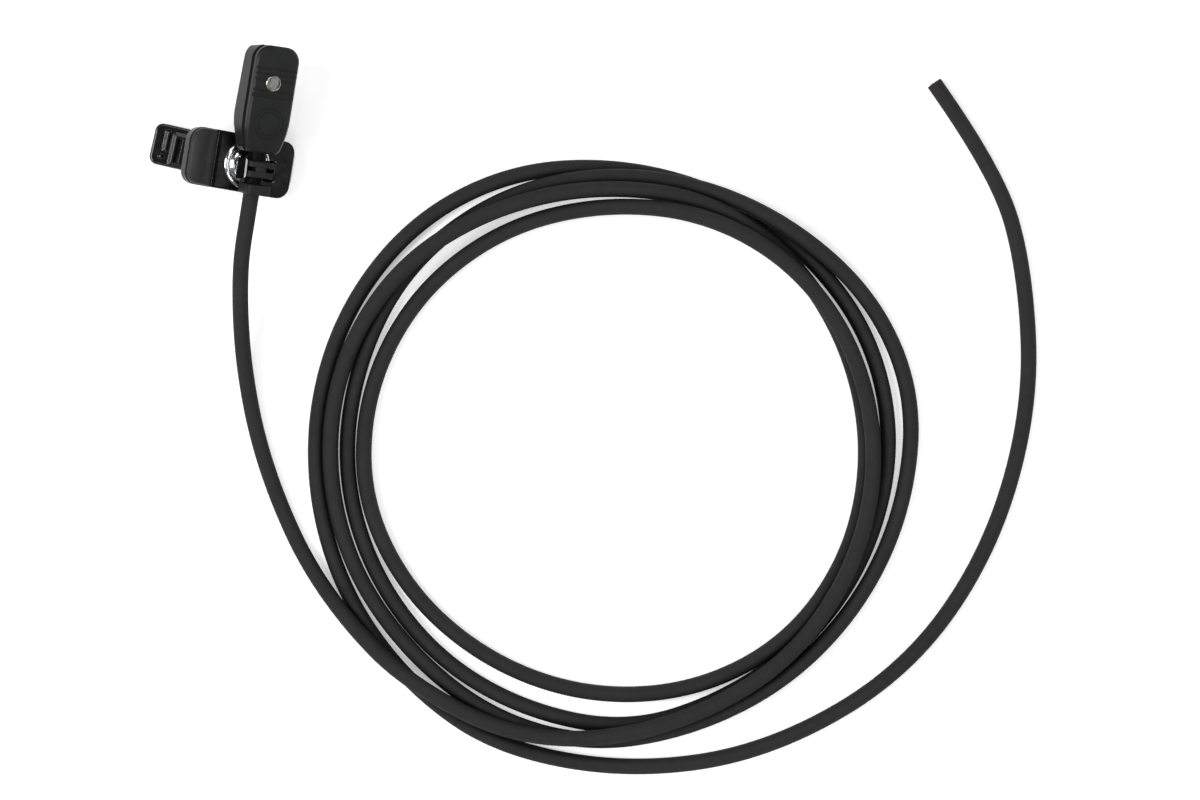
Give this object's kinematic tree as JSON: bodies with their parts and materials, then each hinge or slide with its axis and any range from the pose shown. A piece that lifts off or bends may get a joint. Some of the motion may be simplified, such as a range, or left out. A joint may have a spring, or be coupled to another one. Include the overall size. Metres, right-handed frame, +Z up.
{
  "type": "lavalier_microphone",
  "caption": "Miniature rectangular lavalier microphone held across a sprung lapel clip that swivels under it, with a slotted strain relief and a long thin cable in a loose coil",
  "frame": {"origin": "centre of the bounding box of microphone and clip, on the plane they lie on", "axes": "+Z up, +X along the clip towards the jaw's tip, +Y along the microphone towards its top end"},
  "size_m": [0.1141, 0.0924, 0.012],
  "materials": {
    "housing_black": "satin moulded",
    "chrome": "polished",
    "mesh_steel": "woven",
    "can_aluminium": "drawn",
    "film": "metallised film",
    "insulator": "moulded",
    "board_green": "solder mask",
    "brass": "turned",
    "soft_black": "moulded",
    "cable_black": "matte extruded",
    "clip_black": "semi-gloss moulded",
    "spring_steel": "drawn wire",
    "wire_red": "extruded",
    "wire_white": "extruded"
  },
  "bodies": {
    "microphone": {"rear_housing": "housing_black", "front_housing": "housing_black", "port_ring": "chrome", "port_mesh": "mesh_steel", "capsule_seal": "soft_black", "capsule_can": "can_aluminium", "diaphragm_ring": "brass", "diaphragm": "film", "capsule_spacer": "insulator", "backplate": "brass", "backplate_holder": "insulator", "fet_transistor": "clip_black", "capsule_board": "board_green", "signal_lead": "wire_red", "ground_lead": "wire_white", "cable_stub": "cable_black", "crimp_sleeve": "brass", "strain_relief": "soft_black", "mic_cradle": "clip_black", "cord_lead": "cable_black", "cord_coil": "cable_black", "cord_tail": "cable_black"},
    "clip_upper": {"upper_arm": "clip_black", "thumb_pad": "soft_black", "swivel_disc": "chrome", "friction_washer": "soft_black", "swivel_rivet": "chrome", "hinge_pin": "chrome", "torsion_spring": "spring_steel"},
    "clip_lower": {"lower_arm": "clip_black"}
  },
  "joints": [
    {"name": "clip_swivel", "type": "hinge", "parent": "microphone", "child": "clip_upper", "pos_m": [0.00358, -0.00563, 0.00556], "axis": [0.4772, 0, 0.8788], "range_deg": [-45, 45]},
    {"name": "clip_squeeze", "type": "hinge", "parent": "clip_upper", "child": "clip_lower", "pos_m": [0.00113, -0.00563, 0.0034], "axis": [0, 1, 0], "range_deg": [0, 40], "stiffness_Nm_per_rad": 0.001, "springref_deg": -5.73, "deforming": ["torsion_spring"]}
  ]
}
